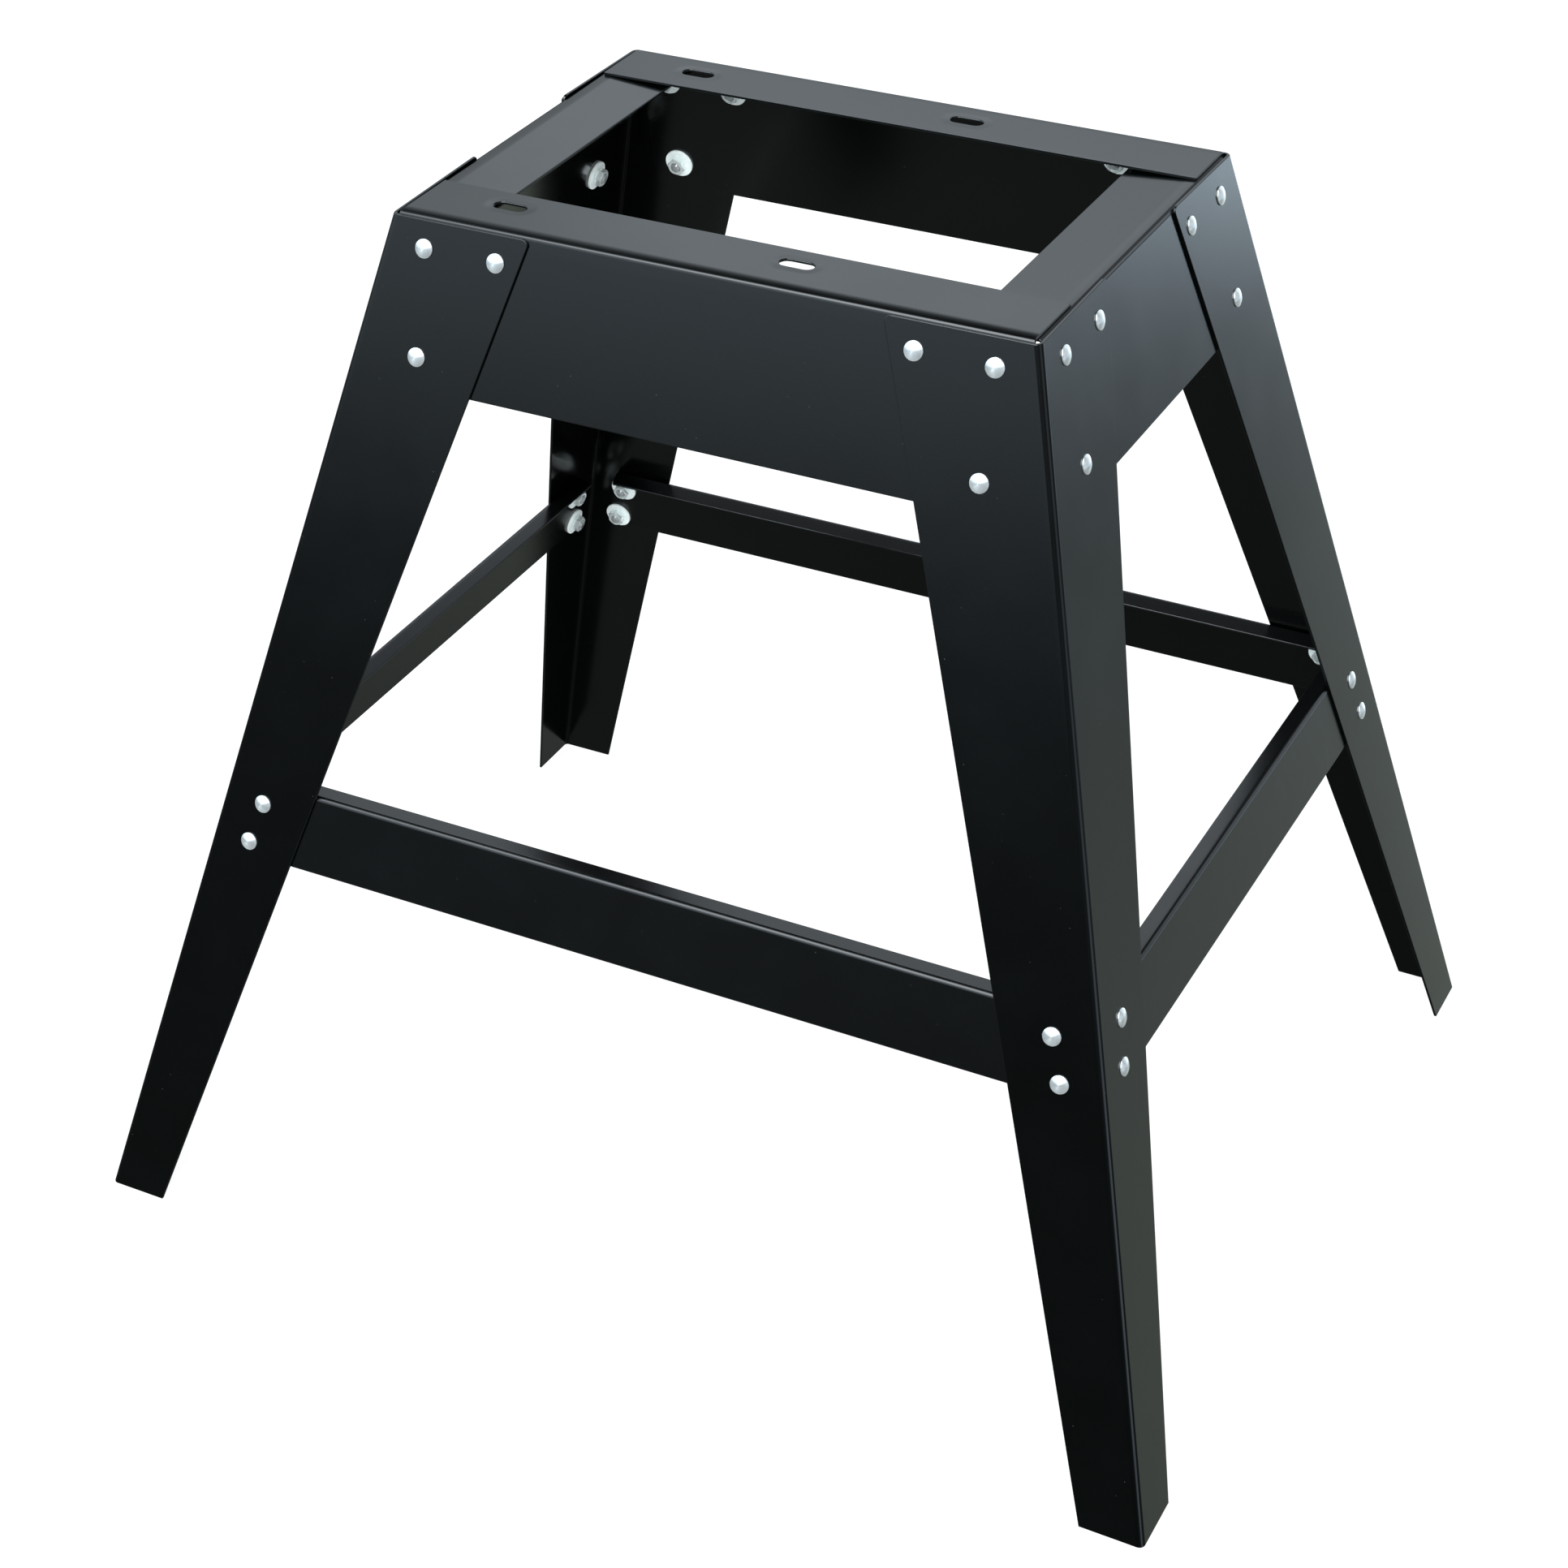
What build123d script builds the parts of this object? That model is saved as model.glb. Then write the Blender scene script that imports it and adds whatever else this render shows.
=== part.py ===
from build123d import *
import math
import os

# Mortising machine stand: four folded sheet-steel legs that splay both ways, four top rails with level
# flanges, four lower braces, and bolted corners. Millimetres. +X runs along the long side, to the right
# seen from the front, +Y runs from front to rear, +Z is up. The origin is on the floor, under the middle.

# Overall size, over the outer faces of the legs
stand_height = 645.3
top_length = 389.4
top_width = 284.8
base_length = 713.6
base_width = 601.8

# Sheet thickness and the inside radius of each kind of fold
leg_sheet = 1.7
rail_sheet = 1.7
brace_sheet = 1.7
leg_bend = 2.5
rail_bend = 1.5
brace_bend = 1.2

# Legs: widths of the two tapered flanges, at the floor and at the height of the top. Their top end is cut
# below the stand's top, and rises a little along the side flange.
leg_top_drop = 1.6
leg_top_rise = 1.2
long_flange_foot_width = 39.2
long_flange_top_width = 88.9
side_flange_foot_width = 41.1
side_flange_top_width = 92.5
leg_top_corner_radius = 3.2
leg_foot_corner_radius = 1.0

# Top rails: a skirt that leans with the legs, and a flange on top of it
rail_depth = 95.0
front_rail_top_width = 49.0
rear_rail_top_width = 44.6
side_rail_top_width = 45.3
side_rail_droop_angle = 2.5
long_rail_end_gap = 1.8
side_rail_end_clearance = 1.7

# Machine slots through the flanges of the long rails
slot_length = 20.5
slot_width = 9.0
slot_spacing_x = 178.0
slot_spacing_y = 227.6
slot_centre_x = -48.8
slot_centre_y = 4.8

# Lower braces: a narrow flange on top of a leaning web, a little lower at its free edge
long_brace_top_height = 295.3
side_brace_top_height = 296.6
brace_depth = 47.9
long_brace_top_width = 15.2
side_brace_top_width = 12.3
brace_top_droop_angle = 8.5
brace_top_taper = 3.4
brace_end_distance = 8.0

# Bolt places
long_rail_bolt_end_distance = 18.9
side_rail_bolt_end_distance = 19.0
long_rail_bolt_pitch = 46.0
side_rail_bolt_pitch = 47.4
rail_bolt_upper_drop = 17.0
rail_bolt_lower_drop = 77.0
brace_bolt_pitch = 25.8
brace_bolt_edge_distance = 32.7

# Fasteners: domed-head bolt with a square neck, flat washer and hexagon nut
bolt_diameter = 6.0
bolt_end_chamfer = 0.6
bolt_protrusion = 0.8
head_diameter = 11.0
head_rim = 0.9
head_height = 2.4
neck_width = 6.0
neck_setback = 0.2
neck_clearance = 0.2
bolt_hole_clearance = 0.3
washer_diameter = 18.4
washer_thickness = 1.6
washer_bore_clearance = 0.2
washer_gap = 0.3
nut_width = 10.0
nut_height = 5.0
nut_bore_clearance = 0.05
nut_countersink = 0.5
nut_face_share = 0.95
nut_chamfer_angle = 30.0
nut_turn_step = 23.0

# How far the cutting tools reach past what they cut
overrun = 40.0

# Slopes of the leaning faces, in millimetres of lean per millimetre of height
lean_x = (base_length - top_length) / 2 / stand_height
lean_y = (base_width - top_width) / 2 / stand_height
slant_x = math.hypot(1, lean_x)
slant_y = math.hypot(1, lean_y)

leg_top_height = stand_height - leg_top_drop
skirt_bottom_height = stand_height - rail_depth
brace_bolt_top_drop = brace_sheet + brace_bend + washer_diameter / 2 + washer_gap


def half_length(height, depth=0.0):
    """Half the stand's length at a height, inside a given thickness of the side faces."""
    return base_length / 2 - lean_x * height - depth * slant_x


def half_width(height, depth=0.0):
    """Half the stand's width at a height, inside a given thickness of the front and rear faces."""
    return base_width / 2 - lean_y * height - depth * slant_y


def long_flange_edge(height):
    """Distance from the middle plane to the free edge of a leg's flange on the front or rear face."""
    share = height / stand_height
    width = long_flange_foot_width * (1 - share) + long_flange_top_width * share
    return half_length(height) - width


def side_flange_edge(height):
    """Distance from the middle plane to the free edge of a leg's flange on a side face."""
    share = height / stand_height
    width = side_flange_foot_width * (1 - share) + side_flange_top_width * share
    return half_width(height) - width


long_rail_half = half_length(stand_height, leg_sheet) - long_rail_end_gap
side_rail_half = half_width(stand_height, leg_sheet + rail_sheet) - rail_bend - side_rail_end_clearance


# Folded sections

def angle_section(arm_a, arm_b, opening, sheet, bend):
    """Section of a folded angle. Its sharp outer corner is at the origin, one arm lies along +X and the
    other is turned from it by the opening in degrees. The sheet lies between the arms."""
    turn = math.radians(opening)
    along_b = Vector(math.cos(turn), math.sin(turn))
    into_b = Vector(math.sin(turn), -math.cos(turn))
    middle = Vector(math.cos(turn / 2), math.sin(turn / 2))
    outer = bend + sheet
    setback = outer / math.tan(turn / 2)
    centre = Vector(setback, outer)
    outline = [
        Line((arm_a, 0), (setback, 0)),
        ThreePointArc((setback, 0), centre - middle * outer, along_b * setback),
        Line(along_b * setback, along_b * arm_b),
        Line(along_b * arm_b, along_b * arm_b + into_b * sheet),
        Line(along_b * arm_b + into_b * sheet, centre - into_b * bend),
        ThreePointArc(centre - into_b * bend, centre - middle * bend, (setback, sheet)),
        Line((setback, sheet), (arm_a, sheet)),
        Line((arm_a, sheet), (arm_a, 0)),
    ]
    return make_face(Wire(outline))


def leaning_angle(base_half, lean, depth, top, bottom, top_width, droop, sheet, bend, half_run):
    """Folded angle on the front face: a web that leans with the legs, depth inside their outer face, and a
    top flange that points inwards and droops by an angle. The fold's highest line is at the top height."""
    slant = math.hypot(1, lean)
    outer = bend + sheet
    web = Vector(0, -lean, -1) / slant
    flange = Vector(0, math.cos(math.radians(droop)), -math.sin(math.radians(droop)))
    opening = web.get_angle(flange)
    fold_height = top - outer
    fold_y = -(base_half - lean * fold_height - (depth + outer) * slant)
    fold = Plane(origin=(0, fold_y, fold_height), x_dir=web, z_dir=(1, 0, 0))
    setback = outer / math.tan(math.radians(opening) / 2)
    corner = fold.origin - fold.x_dir * setback - fold.y_dir * outer
    web_length = (corner.Z - bottom) * slant
    section = angle_section(web_length, top_width, opening, sheet, bend)
    return extrude(Plane(origin=corner, x_dir=web, z_dir=(1, 0, 0)) * section, amount=half_run, both=True)


# Places on the leaning faces, for the quarter of the stand with +X and +Y

def long_face_place(along, height):
    """Plane on the rear face with its origin at a bolt and its normal pointing out."""
    return Plane(origin=(along, half_width(height), height), x_dir=(-1, 0, 0), z_dir=(0, 1, lean_y))


def side_face_place(along, height):
    """Plane on the right face with its origin at a bolt and its normal pointing out."""
    return Plane(origin=(half_length(height), along, height), x_dir=(0, 1, 0), z_dir=(1, 0, lean_x))


rail_bolt_heights = [stand_height - rail_bolt_upper_drop, stand_height - rail_bolt_lower_drop]
long_bolt_at = long_rail_half - long_rail_bolt_end_distance
side_bolt_at = side_rail_half - side_rail_bolt_end_distance

long_rail_places = [
    long_face_place(long_bolt_at, rail_bolt_heights[0]),
    long_face_place(long_bolt_at - long_rail_bolt_pitch, rail_bolt_heights[0]),
    long_face_place(long_bolt_at, rail_bolt_heights[1]),
]
side_rail_places = [
    side_face_place(side_bolt_at, rail_bolt_heights[0]),
    side_face_place(side_bolt_at - side_rail_bolt_pitch, rail_bolt_heights[0]),
    side_face_place(side_bolt_at, rail_bolt_heights[1]),
]


def brace_bolt_heights(brace_top):
    first = brace_top - brace_bolt_top_drop
    return [first, first - brace_bolt_pitch]


long_brace_places = [
    long_face_place(long_flange_edge(height) + brace_bolt_edge_distance, height)
    for height in brace_bolt_heights(long_brace_top_height)
]
side_brace_places = [
    side_face_place(side_flange_edge(height) + brace_bolt_edge_distance, height)
    for height in brace_bolt_heights(side_brace_top_height)
]


def round_holes(places, diameter):
    return [place * Cylinder(diameter / 2, 2 * overrun) for place in places]


def square_holes(places, width):
    return [place * Box(width, width, 2 * overrun) for place in places]


# Mirror images: the quarter with +X and +Y is carried to the other three

def to_quarter(shape, side_x, side_y):
    if side_x < 0:
        shape = mirror(shape, about=Plane.YZ)
    if side_y < 0:
        shape = mirror(shape, about=Plane.XZ)
    return shape


# Legs

def flange_waste(edge_place, toward_middle):
    """Prism that clears the sheet beyond a flange's tapering free edge. The edge is given by its points
    below the floor and above the top, on the outer face."""
    low, high = edge_place
    outline = Polyline(low, high, high + toward_middle, low + toward_middle, close=True)
    return extrude(make_face(outline), amount=overrun, both=True)


def corner_waste(corner, along_end, along_edge, radius):
    """Prism that rounds a corner of a flange. The two directions run from the corner along its sides."""
    middle = (along_end + along_edge).normalized()
    half_angle = math.radians(along_end.get_angle(along_edge) / 2)
    reach = radius / math.tan(half_angle)
    centre = corner + middle * (radius / math.sin(half_angle))
    start = corner + along_end * reach
    finish = corner + along_edge * reach
    away = middle * -overrun
    outline = [
        Line(finish, finish + away),
        Line(finish + away, start + away),
        Line(start + away, start),
        ThreePointArc(start, centre - middle * radius, finish),
    ]
    return extrude(make_face(Wire(outline)), amount=overrun, both=True)


def top_end(across):
    """Height of a leg's top end at a distance from the stand's middle plane."""
    slope = leg_top_rise / side_flange_top_width
    return leg_top_height + (half_width(leg_top_height) - across) * slope


def leg():
    foot = Vector(base_length / 2, base_width / 2, 0)
    head = Vector(top_length / 2, top_width / 2, stand_height)
    rise = (head - foot).normalized()
    long_arm = rise.cross(Vector(0, 1, lean_y)).normalized()
    side_arm = Vector(1, 0, lean_x).cross(rise).normalized()
    opening = long_arm.get_angle(side_arm)
    section = angle_section(long_flange_top_width, side_flange_top_width, opening, leg_sheet, leg_bend)
    start = Plane(origin=foot - rise * overrun, x_dir=long_arm, z_dir=rise)
    length = (head - foot).length + 2 * overrun
    piece = extrude(start * section, amount=length)
    ends = Polyline((0, 0), (base_width, 0), (base_width, top_end(base_width)), (0, top_end(0)), close=True)
    piece = piece & extrude(Plane.YZ * make_face(ends), amount=base_length)

    def long_edge(height):
        return Vector(long_flange_edge(height), half_width(height), height)

    def side_edge(height):
        return Vector(half_length(height), side_flange_edge(height), height)

    side_top = top_end(side_flange_edge(leg_top_height))
    rising = Vector(0, side_flange_top_width, -leg_top_rise).normalized()
    for edge_at, bend_direction, width, top, along_top in (
        (long_edge, Vector(1, 0, 0), long_flange_top_width, leg_top_height, Vector(1, 0, 0)),
        (side_edge, Vector(0, 1, 0), side_flange_top_width, side_top, rising),
    ):
        ends = [edge_at(-overrun), edge_at(stand_height + overrun)]
        upward = (ends[1] - ends[0]).normalized()
        piece = piece - flange_waste(ends, bend_direction * -width)
        piece = piece - corner_waste(edge_at(top), along_top, -upward, leg_top_corner_radius)
        piece = piece - corner_waste(edge_at(0), bend_direction, upward, leg_foot_corner_radius)

    places = long_rail_places + side_rail_places + long_brace_places + side_brace_places
    return piece - square_holes(places, neck_width + 2 * neck_clearance)


# Rails and braces are first made on the front face. The front one stays there, the rear one is its
# mirror image, and the side ones are turned a quarter turn about the stand's upright axis.

def mirrored_tools(tools):
    """Cutting tools of one quarter, carried to both ends of the piece on one side of the stand."""
    return tools + [mirror(tool, about=Plane.YZ) for tool in tools]


def long_rail(flange_width):
    piece = leaning_angle(
        base_width / 2, lean_y, leg_sheet, stand_height, skirt_bottom_height,
        flange_width, 0, rail_sheet, rail_bend, long_rail_half,
    )
    piece = mirror(piece, about=Plane.XZ)
    return piece - mirrored_tools(round_holes(long_rail_places, bolt_diameter + 2 * bolt_hole_clearance))


def slots(side_y):
    places = [
        Pos(slot_centre_x + side_x * slot_spacing_x / 2, slot_centre_y + side_y * slot_spacing_y / 2, stand_height)
        for side_x in (-1, 1)
    ]
    return [place * extrude(SlotOverall(slot_length, slot_width), amount=overrun, both=True) for place in places]


def side_rail():
    piece = leaning_angle(
        base_length / 2, lean_x, leg_sheet, stand_height - rail_sheet, skirt_bottom_height,
        side_rail_top_width, side_rail_droop_angle, rail_sheet, rail_bend, side_rail_half,
    )
    piece = Rot(0, 0, 90) * piece
    holes = round_holes(side_rail_places, bolt_diameter + 2 * bolt_hole_clearance)
    return piece - holes - [mirror(hole, about=Plane.XZ) for hole in holes]


def brace(base_half, lean, top, top_width, edge_at, half_run):
    """Lower brace on the front face. Its ends run parallel to the free edges of the legs' flanges, and its
    top flange is cut back towards the middle."""
    slant = math.hypot(1, lean)
    piece = leaning_angle(
        base_half, lean, leg_sheet, top, top - brace_depth,
        top_width, brace_top_droop_angle, brace_sheet, brace_bend, half_run,
    )

    def end_at(height):
        return edge_at(height) + brace_bolt_edge_distance + brace_end_distance

    def outer_face(height):
        return -(base_half - lean * height)

    low, high = [Vector(end_at(z), outer_face(z), z) for z in (top - brace_depth - overrun, top + overrun)]
    beyond = Vector(2 * half_run, 0, 0)
    web_waste = extrude(
        make_face(Polyline(low, high, high + beyond, low + beyond, close=True)), amount=overrun, both=True
    )

    web_face = outer_face(top) + leg_sheet * slant
    fold_end = web_face + brace_sheet + brace_bend
    free_edge = web_face + top_width
    taper = Polyline(
        (end_at(top), fold_end),
        (end_at(top) - brace_top_taper, free_edge),
        (end_at(top) - brace_top_taper, free_edge + overrun),
        (2 * half_run, free_edge + overrun),
        (2 * half_run, fold_end),
        close=True,
    )
    flange_waste_tool = Pos(0, 0, top) * extrude(make_face(taper), amount=overrun, both=True)
    return piece - mirrored_tools([web_waste, flange_waste_tool])


def long_brace():
    piece = brace(
        base_width / 2, lean_y, long_brace_top_height, long_brace_top_width, long_flange_edge, base_length / 2
    )
    piece = mirror(piece, about=Plane.XZ)
    return piece - mirrored_tools(round_holes(long_brace_places, bolt_diameter + 2 * bolt_hole_clearance))


def side_brace():
    piece = brace(
        base_length / 2, lean_x, side_brace_top_height, side_brace_top_width, side_flange_edge, base_width / 2
    )
    piece = Rot(0, 0, 90) * piece
    holes = round_holes(side_brace_places, bolt_diameter + 2 * bolt_hole_clearance)
    return piece - holes - [mirror(hole, about=Plane.XZ) for hole in holes]


# Fasteners, drawn with the leg's outer face at the origin and +Z pointing out of it

def turned(points):
    """Solid of revolution about +Z from an outline of radius and height."""
    return revolve(Plane.XZ * make_face(Polyline(*points, close=True)), axis=Axis.Z)


def bolt(inner_sheet):
    radius = head_diameter / 2
    outline = [
        Line((0, 0), (radius, 0)),
        Line((radius, 0), (radius, head_rim)),
        RadiusArc((radius, head_rim), (0, head_height), -dome_radius()),
        Line((0, head_height), (0, 0)),
    ]
    head = revolve(Plane.XZ * make_face(Wire(outline)), axis=Axis.Z)
    neck_length = leg_sheet - neck_setback
    neck = Box(neck_width, neck_width, neck_length, align=(Align.CENTER, Align.CENTER, Align.MAX))
    length = leg_sheet + inner_sheet + washer_thickness + nut_height + bolt_protrusion
    shank_radius = bolt_diameter / 2
    shank = turned([
        (0, 0),
        (shank_radius, 0),
        (shank_radius, bolt_end_chamfer - length),
        (shank_radius - bolt_end_chamfer, -length),
        (0, -length),
    ])
    return head + neck + shank


def dome_radius():
    """Radius of the arc from the head's rim to the top of its dome."""
    rise = head_height - head_rim
    return ((head_diameter / 2) ** 2 + rise ** 2) / (2 * rise)


def washer(inner_sheet):
    face = leg_sheet + inner_sheet
    outer = washer_diameter / 2
    inner = bolt_diameter / 2 + washer_bore_clearance
    return turned([(inner, -face), (outer, -face), (outer, -face - washer_thickness), (inner, -face - washer_thickness)])


def nut(inner_sheet, turn):
    bottom = -(leg_sheet + inner_sheet + washer_thickness + nut_height)
    hexagon = RegularPolygon(nut_width / 2, 6, major_radius=False)
    blank = extrude(Rot(0, 0, turn) * hexagon, amount=nut_height)
    corner_radius = nut_width / math.sqrt(3)
    face_radius = nut_face_share * nut_width / 2
    chamfer_height = (corner_radius - face_radius) * math.tan(math.radians(nut_chamfer_angle))
    envelope = turned([
        (0, 0),
        (face_radius, 0),
        (corner_radius, chamfer_height),
        (corner_radius, nut_height - chamfer_height),
        (face_radius, nut_height),
        (0, nut_height),
    ])
    bore_radius = bolt_diameter / 2 + nut_bore_clearance
    mouth_radius = bore_radius + nut_countersink
    bore = turned([
        (0, 0),
        (mouth_radius, 0),
        (bore_radius, nut_countersink),
        (bore_radius, nut_height - nut_countersink),
        (mouth_radius, nut_height),
        (0, nut_height),
    ])
    return Pos(0, 0, bottom) * ((blank & envelope) - bore)


def fastener_group(places, inner_sheet):
    """Bolts, washers and nuts of one joint, each a list of separate solids."""
    bolts = [place * bolt(inner_sheet) for place in places]
    washers = [place * washer(inner_sheet) for place in places]
    nuts = [place * nut(inner_sheet, nut_turn_step * index) for index, place in enumerate(places)]
    return {"bolts": bolts, "washers": washers, "nuts": nuts}


# All nodes, by name

def all_nodes():
    nodes = {}
    one_leg = leg()
    rail_group = fastener_group(long_rail_places + side_rail_places, rail_sheet)
    brace_group = fastener_group(long_brace_places + side_brace_places, brace_sheet)
    for row, side_y in (("front", -1), ("rear", 1)):
        for column, side_x in (("left", -1), ("right", 1)):
            corner = row + "_" + column
            nodes["leg_" + corner] = to_quarter(one_leg, side_x, side_y)
            for joint, group in (("rail", rail_group), ("brace", brace_group)):
                for kind, solids in group.items():
                    nodes[joint + "_" + kind + "_" + corner] = Compound(
                        [to_quarter(solid, side_x, side_y) for solid in solids]
                    )

    nodes["top_rail_rear"] = long_rail(rear_rail_top_width) - slots(1)
    nodes["top_rail_front"] = mirror(long_rail(front_rail_top_width), about=Plane.XZ) - slots(-1)
    nodes["top_rail_right"] = side_rail()
    nodes["top_rail_left"] = mirror(nodes["top_rail_right"], about=Plane.YZ)
    nodes["brace_rear"] = long_brace()
    nodes["brace_front"] = mirror(nodes["brace_rear"], about=Plane.XZ)
    nodes["brace_right"] = side_brace()
    nodes["brace_left"] = mirror(nodes["brace_right"], about=Plane.YZ)
    return nodes


os.makedirs("parts", exist_ok=True)
for name, shape in all_nodes().items():
    export_step(shape, "parts/" + name + ".step")
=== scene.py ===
import math

import bmesh
import bpy
import numpy as np
from mathutils import Matrix, Vector


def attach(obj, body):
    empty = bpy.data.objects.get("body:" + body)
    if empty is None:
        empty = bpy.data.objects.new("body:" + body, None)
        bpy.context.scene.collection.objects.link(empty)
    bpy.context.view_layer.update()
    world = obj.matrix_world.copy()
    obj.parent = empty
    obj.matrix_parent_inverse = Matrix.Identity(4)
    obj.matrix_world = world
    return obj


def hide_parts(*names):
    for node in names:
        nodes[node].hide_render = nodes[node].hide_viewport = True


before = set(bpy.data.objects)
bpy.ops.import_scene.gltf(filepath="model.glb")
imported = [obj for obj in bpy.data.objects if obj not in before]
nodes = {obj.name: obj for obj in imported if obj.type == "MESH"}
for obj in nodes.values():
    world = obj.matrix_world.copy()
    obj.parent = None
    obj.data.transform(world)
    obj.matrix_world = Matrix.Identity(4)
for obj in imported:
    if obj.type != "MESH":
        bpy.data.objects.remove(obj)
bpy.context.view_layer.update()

# Camera, in metres and radians
camera_place = (0.74836, -1.57334, 1.36513)
camera_turn = (0.981406, 0.015669, 0.488991)
camera_lens = 74.876
camera_sensor = 36.0
camera_shift = (0.07957, 0.03186)
camera_clip = (0.05, 50.0)

# Floor: its size, the brightness of its own glow, and the colour and share of its matt part
floor_radius = 4.0
floor_sides = 96
floor_glow = 0.93
floor_colour = (0.9, 0.9, 0.9, 1.0)
floor_share = 0.12

# Studio surroundings: brightness and tint of the front and the rear walls against height above the horizon,
# in degrees
front_sky = [
    (-90, 0.03), (-58, 0.03), (-52, 0.08), (-46, 0.13), (-30, 0.04), (-18, 0.025), (-8, 0.03), (-6, 0.038),
    (-4, 0.115), (-2.3, 0.34), (-1, 0.64), (0.5, 1.05), (10, 1.4), (20, 1.7), (35, 2.0), (55, 1.2), (75, 0.3),
    (90, 0.06),
]
rear_sky = [
    (-90, 0.04), (-50, 0.06), (-42, 0.10), (-36, 0.22), (-32, 0.28), (-28, 0.29), (-24, 0.28), (-20, 0.265),
    (-15, 0.22), (-14, 0.28), (-13, 0.46), (-12, 0.92), (-11, 1.4), (-9, 1.55), (-5, 1.1), (2, 0.55),
    (10, 0.55), (18, 0.56), (21.5, 0.73), (24, 1.1), (28, 1.12), (33, 1.0), (35, 0.70), (38, 0.2), (42, 0.03),
    (90, 0.03),
]
front_tint = [
    (-90, (0.92, 1.08, 0.98)), (-10, (0.91, 1.07, 1.02)), (-4, (0.86, 1.04, 1.18)), (90, (0.90, 1.03, 1.12)),
]
rear_tint = [
    (-90, (0.95, 1.09, 0.92)), (-30, (0.94, 1.08, 0.94)), (-24, (0.93, 1.07, 0.99)), (-17, (0.90, 1.06, 1.05)),
    (-13, (0.86, 1.05, 1.20)), (0, (0.86, 1.05, 1.20)), (15, (0.92, 1.02, 1.10)), (90, (0.92, 1.02, 1.10)),
]
# Brightness of the horizon against the compass direction: 0 is behind the stand, 90 its right-hand side
round_sky = [
    (-180, 0.06), (-172, 0.4), (-160, 1.0), (-90, 0.9), (-48, 0.75), (-34, 0.88), (-31, 0.96), (-28.5, 1.24),
    (-25, 1.2), (-20, 1.16), (-15, 1.18), (0, 1.35), (15, 1.6), (23, 2.1), (26, 2.35), (27, 1.4), (28, 0.72),
    (29, 0.66), (30, 0.84), (31, 1.0), (33, 1.2), (37, 1.15), (44, 0.9), (52, 0.35), (60, 0.14), (83, 0.14),
    (91, 1.0), (113, 1.0), (121, 0.12), (180, 0.06),
]
# Compass direction of the middle of the front walls, and the cosines between which they take over
front_direction = -150
front_blend = (-0.2, 0.5)
# Light added in every direction, and the highest brightness that a table can hold
sky_floor = 0.04
ramp_reach = 10.0
# Lamps and dark cards: direction and height, angles of full and of no effect, and the light added or the share
# of the walls left
lamps = [((-162, 62), 12, 28, 8.0), ((168, 36), 12, 24, 5.0), ((8, -16), 5, 11, 2.2)]
cards = [((4, 36), 11, 21, 0.25), ((-24, -42), 21, 28, 0.06), ((-27, -14), 16, 24, 0.06)]
lamp_tint = (0.95, 1.0, 1.04)
# Soft fill light from beside the camera, for the matt part of the bright pieces
fill_from = (145, 30)
fill_angle = math.radians(25)
fill_strength = 3.0

# Powder coat
coat_colour = (0.0004, 0.0006, 0.0006, 1.0)
# The rounded edges get a lighter base colour than the faces: a painted highlight along every rounded edge.
coat_edge_painted_highlight_colour = (0.004, 0.005, 0.005, 1.0)
dust_colour = (0.16, 0.20, 0.21, 1.0)
coat_roughness = (0.13, 0.19)
brace_roughness = (0.22, 0.28)
edge_roughness = (0.12, 0.18)
coat_ior = 1.5
coat_shades = (0.8, 1.25)
# Scale, detail and roughness of each noise, and the part of its range that is used
peel_noise = (950.0, 3.0, 0.55)
grain_noise = (5200.0, 2.0, 0.5)
cloud_noise = (22.0, 3.0, 0.5)
noise_span = (0.3, 0.7)
mottle_shares = (0.6, 0.4)
peel_height = 0.000010
grain_height = 0.0000008
# Specks of dust: their scale, where each fades out, which of them show, and their height
speck_scale = 150.0
speck_reach = (0.012, 0.03)
speck_hues = (0.2, 1.0)
speck_height = 0.00005
coat_specks = 1.0
edge_specks = 0.5

# Zinc plating: colour, share of metal, roughness, height of the grain, and how far the shine is drawn out round
# the axis
bolt_plating = ((0.86, 0.92, 0.93, 1.0), 0.8, (0.28, 0.34), 0.0000002, 0.88)
washer_plating = ((0.80, 0.89, 0.88, 1.0), 0.0, (0.30, 0.40), 0.0000006, 0.0)
nut_plating = ((0.86, 0.95, 0.95, 1.0), 0.6, (0.10, 0.15), 0.0000001, 0.0)
plating_shade = 0.86
plating_cloud_noise = (260.0, 4.0, 0.6)
plating_cloud_span = (0.35, 0.7)
plating_grain_noise = (2400.0, 3.0, 0.6)
ring_scale = 3.5
ring_detail = 2.0
ring_height = 0.000004

# Corner points closer together than this are the same point
weld_distance = 2e-6
# Edge rounding, the angle from which an edge is rounded, and how close together two corner points are when they
# are joined first. Joining more on legs and braces keeps the rounding from throwing spikes off short edges.
leg_edges = (0.0004, math.radians(60), 0.0003)
brace_edges = (0.0007, math.radians(60), 0.00022)
rail_edges = (0.0007, math.radians(32), weld_distance)
washer_edges = (0.00022, math.radians(32), weld_distance)
nut_edges = (0.00018, math.radians(32), weld_distance)
sheet_segments = 4
fastener_segments = 2
flat_angle = math.radians(0.6)

# Outer corner lines of the folds, and how the sheet sinks towards them: where the sinking ends and begins,
# measured from the corner line, its depth on a level face and its depth on a leaning face. Faces that look to
# the left or right have none.
stand_height = 0.6453
top_length = 0.3894
top_width = 0.2848
base_length = 0.7136
base_width = 0.6018
sheet = 0.0017
long_brace_top = 0.2953
side_brace_top = 0.2966
leg_ease = (0.0028, 0.0058, 0.00005, 0.00005)
front_rail_ease = (0.0016, 0.0088, 0.00092, 0.00003)
rear_rail_ease = (0.0016, 0.0060, 0.00012, 0.00003)
side_rail_ease = (0.0016, 0.0088, 0.00070, 0.00003)
brace_ease = (0.0012, 0.0040, 0.00010, 0.00002)
ease_power = 1.5
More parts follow.
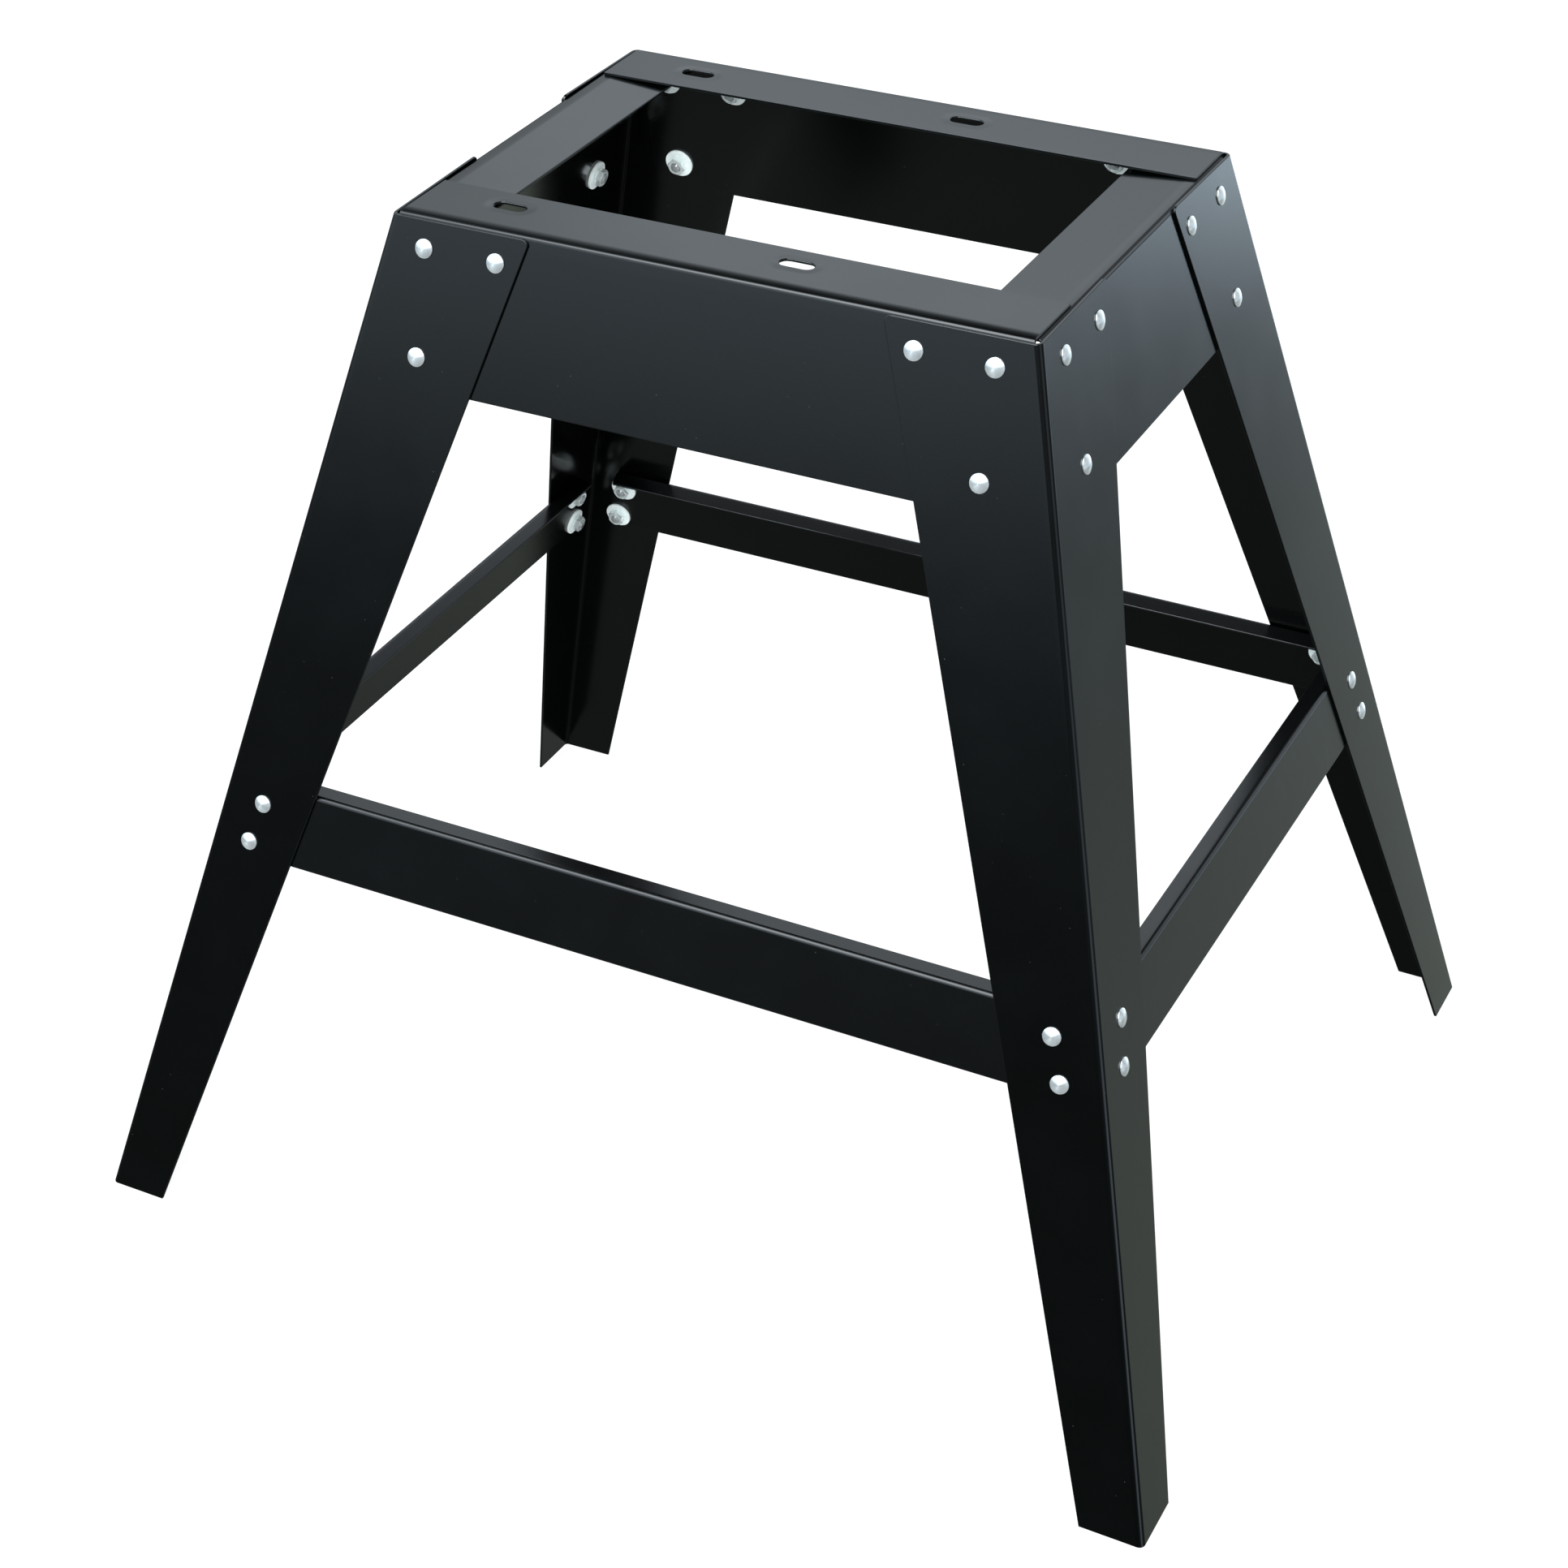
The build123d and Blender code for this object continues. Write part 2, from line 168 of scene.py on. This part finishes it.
# Shares of the sheet's thickness between which the outer side gives way to the inner one, and shares of a face's
# direction between which a leaning face gives way to a level one
ease_side = (0.25, 0.75)
ease_slope = (0.4, 0.8)

# Slots of the long rails, and the dish that punching left round them
slot_centre = (-0.0488, 0.0048)
slot_spacing = (0.1780, 0.2276)
slot_straight = 0.0115
slot_width = 0.0090
slot_dish_reach = 0.0065
slot_dish_depth = 0.00022
# Depth under the stand's top, in thicknesses of sheet, between which the dish comes in
slot_dish_sheets = (2.0, 1.5)

# Bolt heads: the rounding of the rim as a share of its height, the nub that turning left in the middle as shares
# of the head's radius and height, the nub's innermost ring as a share of the next one, the steps of each curve,
# and where the flat underside ends as a share of the radius
lathe_sides = 72
head_lip = 0.34
head_tip_radius = 0.07
head_tip_height = 0.02
head_tip_steps = 2
head_dome_steps = 18
head_rim_steps = 5
head_start = 0.15
head_seat = 0.6
# Share of the greatest radius from which a corner point of the frame's bolt belongs to its rim
rim_share = 0.95

# Shanks, threads and square necks. The thread is at full depth after one part in thread_growth of its length, and
# it ends at a gap from the tip. The neck's corners reach neck_corner times its half width.
thread_pitch = 0.001
thread_depth = 0.00052
thread_length = 0.0035
thread_rings = 14
thread_growth = 4
thread_power = 0.8
thread_end_gap = 0.00002
shank_inset = 0.0001
end_chamfer = 0.0007
tip_reach = 0.0015
neck_length = 0.0015
neck_corner = 1.33


class Shader:
    """Short ways to add and join the nodes of one material or of the surroundings."""

    def __init__(self, tree):
        self.tree = tree
        tree.nodes.clear()

    def add(self, kind, **settings):
        node = self.tree.nodes.new(kind)
        for name, value in settings.items():
            setattr(node, name, value)
        return node

    def set(self, socket, value):
        if isinstance(value, bpy.types.NodeSocket):
            self.tree.links.new(value, socket)
        else:
            socket.default_value = value

    def math(self, operation, first, second=0.0):
        node = self.add("ShaderNodeMath", operation=operation)
        self.set(node.inputs[0], first)
        self.set(node.inputs[1], second)
        return node.outputs[0]

    def range(self, value, low, high, start=0.0, end=1.0, smooth=False):
        node = self.add("ShaderNodeMapRange", interpolation_type="SMOOTHSTEP" if smooth else "LINEAR")
        self.set(node.inputs["Value"], value)
        self.set(node.inputs["From Min"], low)
        self.set(node.inputs["From Max"], high)
        self.set(node.inputs["To Min"], start)
        self.set(node.inputs["To Max"], end)
        return node.outputs["Result"]

    def mix(self, factor, first, second):
        """Mixed colour, by the numbered sockets of the node that are for colours."""
        node = self.add("ShaderNodeMix", data_type="RGBA")
        self.set(node.inputs["Factor"], factor)
        self.set(node.inputs[6], first)
        self.set(node.inputs[7], second)
        return node.outputs[2]

    def noise(self, coordinates, scale, detail, roughness):
        node = self.add("ShaderNodeTexNoise")
        self.set(node.inputs["Vector"], coordinates)
        node.inputs["Scale"].default_value = scale
        node.inputs["Detail"].default_value = detail
        node.inputs["Roughness"].default_value = roughness
        return node.outputs[0]

    def bump(self, height, distance, normal=None):
        node = self.add("ShaderNodeBump")
        node.inputs["Strength"].default_value = 1.0
        node.inputs["Distance"].default_value = distance
        self.set(node.inputs["Height"], height)
        if normal is not None:
            self.set(node.inputs["Normal"], normal)
        return node.outputs[0]

    def vector(self, operation, first, second=None):
        node = self.add("ShaderNodeVectorMath", operation=operation)
        self.set(node.inputs[0], first)
        if second is not None:
            self.set(node.inputs["Scale"] if operation == "SCALE" else node.inputs[1], second)
        return node.outputs["Value" if operation in ("DOT_PRODUCT", "LENGTH") else "Vector"]

    def split(self, vector):
        node = self.add("ShaderNodeSeparateXYZ")
        self.set(node.inputs[0], vector)
        return node.outputs

    def ramp(self, value, low, high, stops):
        """Colour read from a table of stops between low and high."""
        node = self.add("ShaderNodeValToRGB")
        elements = node.color_ramp.elements
        while len(elements) < len(stops):
            elements.new(0.5)
        for element, (at, colour) in zip(elements, stops):
            element.position = (at - low) / (high - low)
            element.color = tuple(colour) + (1.0,)
        self.set(node.inputs[0], self.range(value, low, high))
        return node.outputs[0]

    def level(self, value, low, high, stops):
        """Brightness read from a table of stops between low and high."""
        shares = [(at, (amount / ramp_reach,) * 3) for at, amount in stops]
        return self.math("MULTIPLY", self.ramp(value, low, high, shares), ramp_reach)


def new_material(name):
    material = bpy.data.materials.new(name)
    material.use_nodes = True
    shader = Shader(material.node_tree)
    principled = shader.add("ShaderNodeBsdfPrincipled")
    output = shader.add("ShaderNodeOutputMaterial")
    shader.set(output.inputs["Surface"], principled.outputs[0])
    place = shader.add("ShaderNodeTexCoord").outputs["Object"]
    return material, shader, principled, place


# Camera
camera_data = bpy.data.cameras.new("camera")
camera_data.lens = camera_lens
camera_data.sensor_fit = "HORIZONTAL"
camera_data.sensor_width = camera_sensor
camera_data.shift_x, camera_data.shift_y = camera_shift
camera_data.clip_start, camera_data.clip_end = camera_clip
camera = bpy.data.objects.new("camera", camera_data)
camera.location = camera_place
camera.rotation_euler = camera_turn
bpy.context.scene.collection.objects.link(camera)
bpy.context.scene.camera = camera


# Studio surroundings
def compass(direction, height):
    """Unit vector of a compass direction and a height above the horizon, both in degrees."""
    across = math.cos(math.radians(height))
    turn = math.radians(direction)
    return Vector((across * math.sin(turn), across * math.cos(turn), math.sin(math.radians(height))))


def build_sky():
    world = bpy.data.worlds.new("studio")
    bpy.context.scene.world = world
    world.use_nodes = True
    sky = Shader(world.node_tree)
    direction = sky.add("ShaderNodeTexCoord").outputs["Generated"]
    x, y, z = sky.split(direction)
    height = sky.math("MULTIPLY", sky.math("ARCSINE", z), 180 / math.pi)
    turn = sky.math("MULTIPLY", sky.math("ARCTAN2", x, y), 180 / math.pi)

    front = sky.vector("SCALE", sky.ramp(height, -90, 90, front_tint), sky.level(height, -90, 90, front_sky))
    rear = sky.vector("SCALE", sky.ramp(height, -90, 90, rear_tint), sky.level(height, -90, 90, rear_sky))
    facing = sky.vector("DOT_PRODUCT", direction, compass(front_direction, 0))
    front_share = sky.range(facing, front_blend[0], front_blend[1], smooth=True)
    walls = sky.vector("SCALE", sky.mix(front_share, rear, front), sky.level(turn, -180, 180, round_sky))

    def patch(place, inner, outer, start, end):
        near = sky.vector("DOT_PRODUCT", direction, compass(*place))
        low, high = math.cos(math.radians(outer)), math.cos(math.radians(inner))
        return sky.range(near, low, high, start, end, smooth=True)

    for place, inner, outer, share in cards:
        walls = sky.vector("SCALE", walls, patch(place, inner, outer, 1.0, share))
    light = sky_floor
    for place, inner, outer, brightness in lamps:
        light = sky.math("ADD", light, patch(place, inner, outer, 0.0, brightness))
    glow = sky.vector("SCALE", lamp_tint, light)

    lit = sky.add("ShaderNodeBackground")
    sky.set(lit.inputs["Color"], sky.vector("ADD", walls, glow))
    plain = sky.add("ShaderNodeBackground")
    plain.inputs["Color"].default_value = (1.0, 1.0, 1.0, 1.0)
    joined = sky.add("ShaderNodeMixShader")
    sky.set(joined.inputs[0], sky.add("ShaderNodeLightPath").outputs["Is Camera Ray"])
    sky.set(joined.inputs[1], lit.outputs[0])
    sky.set(joined.inputs[2], plain.outputs[0])
    output = sky.add("ShaderNodeOutputWorld")
    sky.set(output.inputs["Surface"], joined.outputs[0])


def build_fill():
    lamp = bpy.data.lights.new("fill", "SUN")
    lamp.energy = fill_strength
    lamp.angle = fill_angle
    holder = bpy.data.objects.new("fill", lamp)
    holder.rotation_euler = compass(*fill_from).to_track_quat("Z", "Y").to_euler()
    holder.visible_glossy = False
    bpy.context.scene.collection.objects.link(holder)


build_sky()
build_fill()
bpy.context.scene.view_settings.view_transform = "Standard"
bpy.context.scene.view_settings.look = "None"


# Floor
def build_floor():
    mesh = bpy.data.meshes.new("floor")
    shape = bmesh.new()
    bmesh.ops.create_circle(shape, cap_ends=True, segments=floor_sides, radius=floor_radius)
    shape.to_mesh(mesh)
    shape.free()
    floor = bpy.data.objects.new("floor", mesh)
    bpy.context.scene.collection.objects.link(floor)
    material = bpy.data.materials.new("floor_paper")
    material.use_nodes = True
    paper = Shader(material.node_tree)
    diffuse = paper.add("ShaderNodeBsdfDiffuse")
    diffuse.inputs["Color"].default_value = floor_colour
    glow = paper.add("ShaderNodeEmission")
    glow.inputs["Strength"].default_value = floor_glow / (1 - floor_share)
    joined = paper.add("ShaderNodeMixShader")
    joined.inputs[0].default_value = floor_share
    paper.set(joined.inputs[1], glow.outputs[0])
    paper.set(joined.inputs[2], diffuse.outputs[0])
    output = paper.add("ShaderNodeOutputMaterial")
    paper.set(output.inputs["Surface"], joined.outputs[0])
    mesh.materials.append(material)
    floor.visible_glossy = False


build_floor()


# Materials
def fold_height(coat, place, point, direction, ease):
    """How far the sheet sinks towards a fold, from its distance to the fold's outer corner line. The inner side
    rises by as much. The place is mirrored into the quarter behind on the right, so one line serves every piece
    of a kind."""
    near, far, level_depth, leaning_depth = ease
    mirrored = coat.vector("ABSOLUTE", place)
    side = coat.vector("SIGN", place)
    facing = coat.vector("MULTIPLY", coat.add("ShaderNodeNewGeometry").outputs["Normal"], side)
    along = Vector(direction).normalized()
    arm = coat.vector("SUBTRACT", mirrored, Vector(point))
    radial = coat.vector("SUBTRACT", arm, coat.vector("SCALE", along, coat.vector("DOT_PRODUCT", arm, along)))
    behind = coat.vector("DOT_PRODUCT", radial, facing)
    outside = coat.range(behind, ease_side[0] * sheet, ease_side[1] * sheet, 1.0, -1.0)
    depth = coat.range(coat.split(facing)[2], *ease_slope, leaning_depth, level_depth)
    nearness = coat.range(coat.vector("LENGTH", radial), near, far, 1.0, 0.0)
    depth = coat.math("MULTIPLY", depth, coat.range(coat.split(facing)[0], *ease_slope, 1.0, 0.0))
    sink = coat.math("MULTIPLY", coat.math("POWER", nearness, ease_power), depth)
    return coat.math("MULTIPLY", sink, coat.math("MULTIPLY", outside, -1.0))


def dish_height(coat, place):
    """How far the flange sinks towards the rim of each slot."""
    x, y, z = coat.split(place)
    offsets = []
    for value, middle, spacing in zip((x, y), slot_centre, slot_spacing):
        away = coat.math("ABSOLUTE", coat.math("SUBTRACT", value, middle))
        offsets.append(coat.math("ABSOLUTE", coat.math("SUBTRACT", away, spacing / 2)))
    past_straight = coat.math("MAXIMUM", coat.math("SUBTRACT", offsets[0], slot_straight / 2), 0.0)
    flat = coat.add("ShaderNodeCombineXYZ")
    coat.set(flat.inputs[0], past_straight)
    coat.set(flat.inputs[1], offsets[1])
    from_rim = coat.math("SUBTRACT", coat.vector("LENGTH", flat.outputs[0]), slot_width / 2)
    low, high = (stand_height - sheets * sheet for sheets in slot_dish_sheets)
    sink = coat.range(from_rim, 0.0, slot_dish_reach, -slot_dish_depth, 0.0, smooth=True)
    return coat.math("MULTIPLY", sink, coat.range(z, low, high))


def build_coat(name, colour, roughness, speck_level, heights):
    """Satin black powder coat: fine orange peel, faint mottling and a few specks of dust."""
    material, coat, surface, place = new_material(name)
    normal = None
    for make_height in heights:
        normal = coat.bump(make_height(coat, place), 1.0, normal)
    peel = coat.noise(place, *peel_noise)
    grain = coat.noise(place, *grain_noise)
    cloud = coat.noise(place, *cloud_noise)
    speck = coat.add("ShaderNodeTexVoronoi")
    coat.set(speck.inputs["Vector"], place)
    speck.inputs["Scale"].default_value = speck_scale
    near = coat.range(speck.outputs["Distance"], *speck_reach, 1.0, 0.0, smooth=True)
    hue = coat.split(speck.outputs["Color"])[0]
    strength = coat.math("MULTIPLY", near, coat.range(hue, *speck_hues, 0.0, speck_level))
    deeper, lighter = (tuple(shade * share for share in colour[:3]) + (1.0,) for shade in coat_shades)
    ground = coat.mix(coat.range(cloud, *noise_span), deeper, lighter)
    coat.set(surface.inputs["Base Color"], coat.mix(strength, ground, dust_colour))
    fine, broad = mottle_shares
    mottle = coat.math("ADD", coat.math("MULTIPLY", grain, fine), coat.math("MULTIPLY", cloud, broad))
    coat.set(surface.inputs["Roughness"], coat.range(mottle, *noise_span, *roughness))
    surface.inputs["IOR"].default_value = coat_ior
    normal = coat.bump(peel, peel_height, normal)
    normal = coat.bump(grain, grain_height, normal)
    normal = coat.bump(strength, speck_height, normal)
    coat.set(surface.inputs["Normal"], normal)
    return material


def build_zinc(name, plating, turned=False):
    """Bright zinc plating with faint cloudiness. Turned pieces have fine rings along their profile."""
    colour, metallic, roughness, grain_depth, anisotropy = plating
    material, zinc, surface, place = new_material(name)
    cloud = zinc.noise(place, *plating_cloud_noise)
    crystal = zinc.noise(place, *plating_grain_noise)
    darker = tuple(plating_shade * share for share in colour[:3]) + (1.0,)
    zinc.set(surface.inputs["Base Color"], zinc.mix(zinc.range(cloud, *plating_cloud_span), darker, colour))
    surface.inputs["Metallic"].default_value = metallic
    zinc.set(surface.inputs["Roughness"], zinc.range(crystal, *noise_span, *roughness))
    surface.inputs["Anisotropic"].default_value = anisotropy
    normal = zinc.bump(crystal, grain_depth)
    if turned:
        along = zinc.add("ShaderNodeTangent", direction_type="UV_MAP", uv_map="turning")
        zinc.set(surface.inputs["Tangent"], along.outputs[0])
        turning = zinc.add("ShaderNodeUVMap", uv_map="turning")
        rings = zinc.add("ShaderNodeTexNoise", noise_dimensions="1D")
        zinc.set(rings.inputs["W"], zinc.split(turning.outputs[0])[0])
        rings.inputs["Scale"].default_value = ring_scale
        rings.inputs["Detail"].default_value = ring_detail
        normal = zinc.bump(rings.outputs[0], ring_height, normal)
    zinc.set(surface.inputs["Normal"], normal)
    return material


def fold_of(point, direction, ease):
    """A fold's height as a function of a material and of the place in it."""
    return lambda coat, place: fold_height(coat, place, point, direction, ease)


def face_line(base, top, height, inset):
    """Distance from the stand's middle of a face's inset plane, at a height."""
    lean = (base - top) / 2 / stand_height
    return base / 2 - lean * height - inset * math.hypot(1, lean)


leg_foot = (base_length / 2, base_width / 2, 0)
leg_rise = ((top_length - base_length) / 2, (top_width - base_width) / 2, stand_height)
along_x = (1, 0, 0)
along_y = (0, 1, 0)
side_rail_top = stand_height - sheet
long_rail_corner = (0, face_line(base_width, top_width, stand_height, sheet), stand_height)
side_rail_corner = (face_line(base_length, top_length, side_rail_top, sheet), 0, side_rail_top)
long_brace_corner = (0, face_line(base_width, top_width, long_brace_top, sheet), long_brace_top)
side_brace_corner = (face_line(base_length, top_length, side_brace_top, sheet), 0, side_brace_top)
folds = {
    "leg_": [fold_of(leg_foot, leg_rise, leg_ease)],
    "top_rail_front": [fold_of(long_rail_corner, along_x, front_rail_ease), dish_height],
    "top_rail_rear": [fold_of(long_rail_corner, along_x, rear_rail_ease), dish_height],
    "top_rail_side": [fold_of(side_rail_corner, along_y, side_rail_ease)],
    "brace_long": [fold_of(long_brace_corner, along_x, brace_ease)],
    "brace_side": [fold_of(side_brace_corner, along_y, brace_ease)],
}
coats = {
    kind: build_coat(
        "powder_coat_" + kind.strip("_"), coat_colour,
        brace_roughness if kind.startswith("brace") else coat_roughness, coat_specks, heights,
    )
    for kind, heights in folds.items()
}
# Rounded edges: the same coat with a lighter base colour, which paints a highlight along them, and a little less
# roughness.
powder_coat_edge = build_coat("powder_coat_edge", coat_edge_painted_highlight_colour, edge_roughness, edge_specks, [])
zinc_bolt = build_zinc("zinc_bolt", bolt_plating, turned=True)
zinc_washer = build_zinc("zinc_washer", washer_plating)
zinc_nut = build_zinc("zinc_nut", nut_plating)


# Sheet pieces, washers and nuts: the solids of the frame with rounded edges
def dress(node, material, edge_material, edges, segments):
    edge_round, least_angle, merge_distance = edges
    piece = nodes[node]
    piece.data.materials.clear()
    piece.data.materials.append(material)
    if edge_material is not None:
        piece.data.materials.append(edge_material)
    weld = piece.modifiers.new("weld", "WELD")
    weld.merge_threshold = merge_distance
    flatten = piece.modifiers.new("flatten", "DECIMATE")
    flatten.decimate_type = "DISSOLVE"
    flatten.angle_limit = flat_angle
    rounding = piece.modifiers.new("rounding", "BEVEL")
    rounding.width = edge_round
    rounding.segments = segments
    rounding.limit_method = "ANGLE"
    rounding.angle_limit = least_angle
    rounding.use_clamp_overlap = False
    if edge_material is not None:
        rounding.material = 1
    shading = piece.modifiers.new("shading", "WEIGHTED_NORMAL")
    shading.keep_sharp = False
    shading.weight = 100


coat_kinds = {
    "leg_": "leg_",
    "top_rail_front": "top_rail_front",
    "top_rail_rear": "top_rail_rear",
    "top_rail_left": "top_rail_side",
    "top_rail_right": "top_rail_side",
    "brace_front": "brace_long",
    "brace_rear": "brace_long",
    "brace_left": "brace_side",
    "brace_right": "brace_side",
}
edge_kinds = {"leg": leg_edges, "top": rail_edges, "brace": brace_edges}
for name in nodes:
    for start, kind in coat_kinds.items():
        if name.startswith(start):
            dress(name, coats[kind], powder_coat_edge, edge_kinds[kind.split("_")[0]], sheet_segments)
    if "_washers_" in name:
        dress(name, zinc_washer, None, washer_edges, fastener_segments)
    if "_nuts_" in name:
        dress(name, zinc_nut, None, nut_edges, fastener_segments)


# Bolts, turned and threaded, in the places of the frame's plain ones
def loose_parts(mesh):
    """The corner points of each separate solid in a mesh, as one array per solid."""
    owner = list(range(len(mesh.vertices)))

    def root(index):
        while owner[index] != index:
            owner[index] = owner[owner[index]]
            index = owner[index]
        return index

    first_at = {}
    for vertex in mesh.vertices:
        key = tuple(round(share / weld_distance) for share in vertex.co)
        owner[vertex.index] = root(first_at.setdefault(key, vertex.index))
    for polygon in mesh.polygons:
        head = root(polygon.vertices[0])
        for index in polygon.vertices:
            owner[root(index)] = head
    groups = {}
    for vertex in mesh.vertices:
        groups.setdefault(root(vertex.index), []).append(tuple(vertex.co))
    return [np.array(points) for points in groups.values()]


def stations(bolts, washers):
    """Where each bolt stands, and its sizes. The seat is the point on the outward axis at the underside of the
    head. The axis is square to the bolt's washer."""
    found = []
    discs = loose_parts(nodes[washers].data)
    for points in loose_parts(nodes[bolts].data):
        middle = (points.min(axis=0) + points.max(axis=0)) / 2
        disc = min(discs, key=lambda other: np.linalg.norm(other.mean(axis=0) - middle))
        centre = (disc.min(axis=0) + disc.max(axis=0)) / 2
        spread = np.linalg.svd(disc - disc.mean(axis=0), full_matrices=False)[2]
        axis = spread[2]
        if axis[0] * centre[0] + axis[1] * centre[1] < 0:
            axis = -axis
        along = (points - centre) @ axis
        radial = np.linalg.norm(points - centre - np.outer(along, axis), axis=1)
        head_radius = radial.max()
        on_rim = along[radial > rim_share * head_radius]
        seat = on_rim.min()
        tip = along.min()
        found.append({
            "seat": Vector(centre + axis * seat),
            "axis": Vector(axis),
            "radius": float(head_radius),
            "rim": float(on_rim.max() - seat),
            "height": float(along.max() - seat),
            "length": float(seat - tip),
            "shank": float(radial[along < tip + tip_reach].max()),
        })
    return sorted(found, key=lambda spot: tuple(round(share, 4) for share in spot["seat"]))


def head_profile(radius, rim, height):
    """Outline of a turned head, from the middle of its dome out to the rim and in under it."""
    lip = head_lip * rim
    dome_edge = radius - lip
    rise = height - rim
    reach = (dome_edge ** 2 + rise ** 2) / (2 * rise)
    points = []
    tip_radius = head_tip_radius * radius
    tip_height = head_tip_height * height
    for step in range(head_tip_steps + 1):
        share = step / head_tip_steps
        points.append((tip_radius * share, height + tip_height * (0.5 - share ** 2)))
    for step in range(1, head_dome_steps + 1):
        across = tip_radius + (dome_edge - tip_radius) * step / head_dome_steps
        fall = reach - math.sqrt(reach ** 2 - across ** 2)
        points.append((across, height - fall))
    for step in range(1, head_rim_steps + 1):
        turn = math.pi / 2 * step / head_rim_steps
        points.append((dome_edge + lip * math.sin(turn), rim - lip + lip * math.cos(turn)))
    for step in range(head_rim_steps + 1):
        turn = math.pi / 2 * step / head_rim_steps
        points.append((radius - lip * (1 - math.cos(turn)), lip * (1 - math.sin(turn))))
    points.append((head_seat * radius, 0.0))
    return points


def shank_profile(radius, length):
    """Rings of the plain shank and the thread: height under the head, radius, and share of thread."""
    plain = radius - shank_inset
    rings = [(0.0, plain, 0.0), (thread_length - length, plain, 0.0)]
    count = round(thread_length / thread_pitch * thread_rings)
    for step in range(count + 1):
        down = step / count
        height = thread_length - length - (thread_length - thread_end_gap) * down
        rings.append((height, radius, min(1.0, thread_growth * down)))
    return rings


def thread_ring(circle, height, radius, share, length):
    """One ring of the shank, cut in by the thread and narrowed by the chamfer at the tip."""
    limit = radius - max(0.0, end_chamfer - (height + length))
    ring = []
    for side, (x, y) in enumerate(circle):
        phase = (height / thread_pitch + side / lathe_sides) % 1.0
        groove = thread_depth * share * (1 - abs(2 * phase - 1)) ** thread_power
        width = min(limit, radius - groove)
        ring.append((width * x, width * y, height))
    return ring


def neck_ring(circle, height, half):
    """One ring of the square neck, with its corners cut back."""
    ring = []
    for x, y in circle:
        reach = half * min(1 / max(abs(x), abs(y)), neck_corner)
        ring.append((reach * x, reach * y, height))
    return ring


def add_rings(shape, turning, rings, place):
    """Skins a list of rings, each a list of points, closes both ends, and lays out the turning map: the length
    along the profile in millimetres, and the share of a full turn."""
    layers = []
    for ring in rings:
        layers.append([shape.verts.new(place @ Vector(point)) for point in ring])
    lengths = [0.0]
    for before, after in zip(layers, layers[1:]):
        lengths.append(lengths[-1] + (after[0].co - before[0].co).length * 1000)
    sides = len(layers[0])
    for row in range(len(layers) - 1):
        for side in range(sides):
            ahead = (side + 1) % sides
            here, below = layers[row], layers[row + 1]
            face = shape.faces.new((here[side], below[side], below[ahead], here[ahead]))
            face.smooth = True
            spots = [(row, side), (row + 1, side), (row + 1, side + 1), (row, side + 1)]
            for loop, (level, turn) in zip(face.loops, spots):
                loop[turning].uv = (lengths[level], turn / sides)
    for layer, length in ((layers[0], lengths[0]), (layers[-1][::-1], lengths[-1])):
        face = shape.faces.new(layer)
        face.smooth = True
        for loop in face.loops:
            loop[turning].uv = (length, 0.0)


def build_bolts(name, bolts, washers):
    """One piece with a turned bolt in the place of each bolt of a node."""
    mesh = bpy.data.meshes.new(name)
    shape = bmesh.new()
    turning = shape.loops.layers.uv.new("turning")
    circle = [(math.cos(math.tau * side / lathe_sides), math.sin(math.tau * side / lathe_sides))
              for side in range(lathe_sides)]
    for spot in stations(bolts, washers):
        axis = spot["axis"]
        across = axis.cross(Vector((0, 0, 1))).normalized()
        place = Matrix((across, -axis.cross(across), axis)).transposed().to_4x4()
        place.translation = spot["seat"]
        outline = head_profile(spot["radius"], spot["rim"], spot["height"])
        start = head_start * outline[1][0]
        head = [[(start * x, start * y, outline[0][1]) for x, y in circle]]
        head += [[(radius * x, radius * y, height) for x, y in circle] for radius, height in outline[1:]]
        shank = [
            thread_ring(circle, height, radius, share, spot["length"])
            for height, radius, share in shank_profile(spot["shank"], spot["length"])
        ]
        neck = [neck_ring(circle, height, spot["shank"]) for height in (0.0, -neck_length)]
        for rings in (head, shank, neck):
            add_rings(shape, turning, rings, place)
    bmesh.ops.recalc_face_normals(shape, faces=shape.faces)
    shape.to_mesh(mesh)
    shape.free()
    mesh.materials.append(zinc_bolt)
    piece = bpy.data.objects.new(name, mesh)
    bpy.context.scene.collection.objects.link(piece)
    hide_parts(bolts)
    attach(piece, "root")


for name in list(nodes):
    if "_bolts_" in name:
        build_bolts("turned_" + name, name, name.replace("_bolts_", "_washers_"))
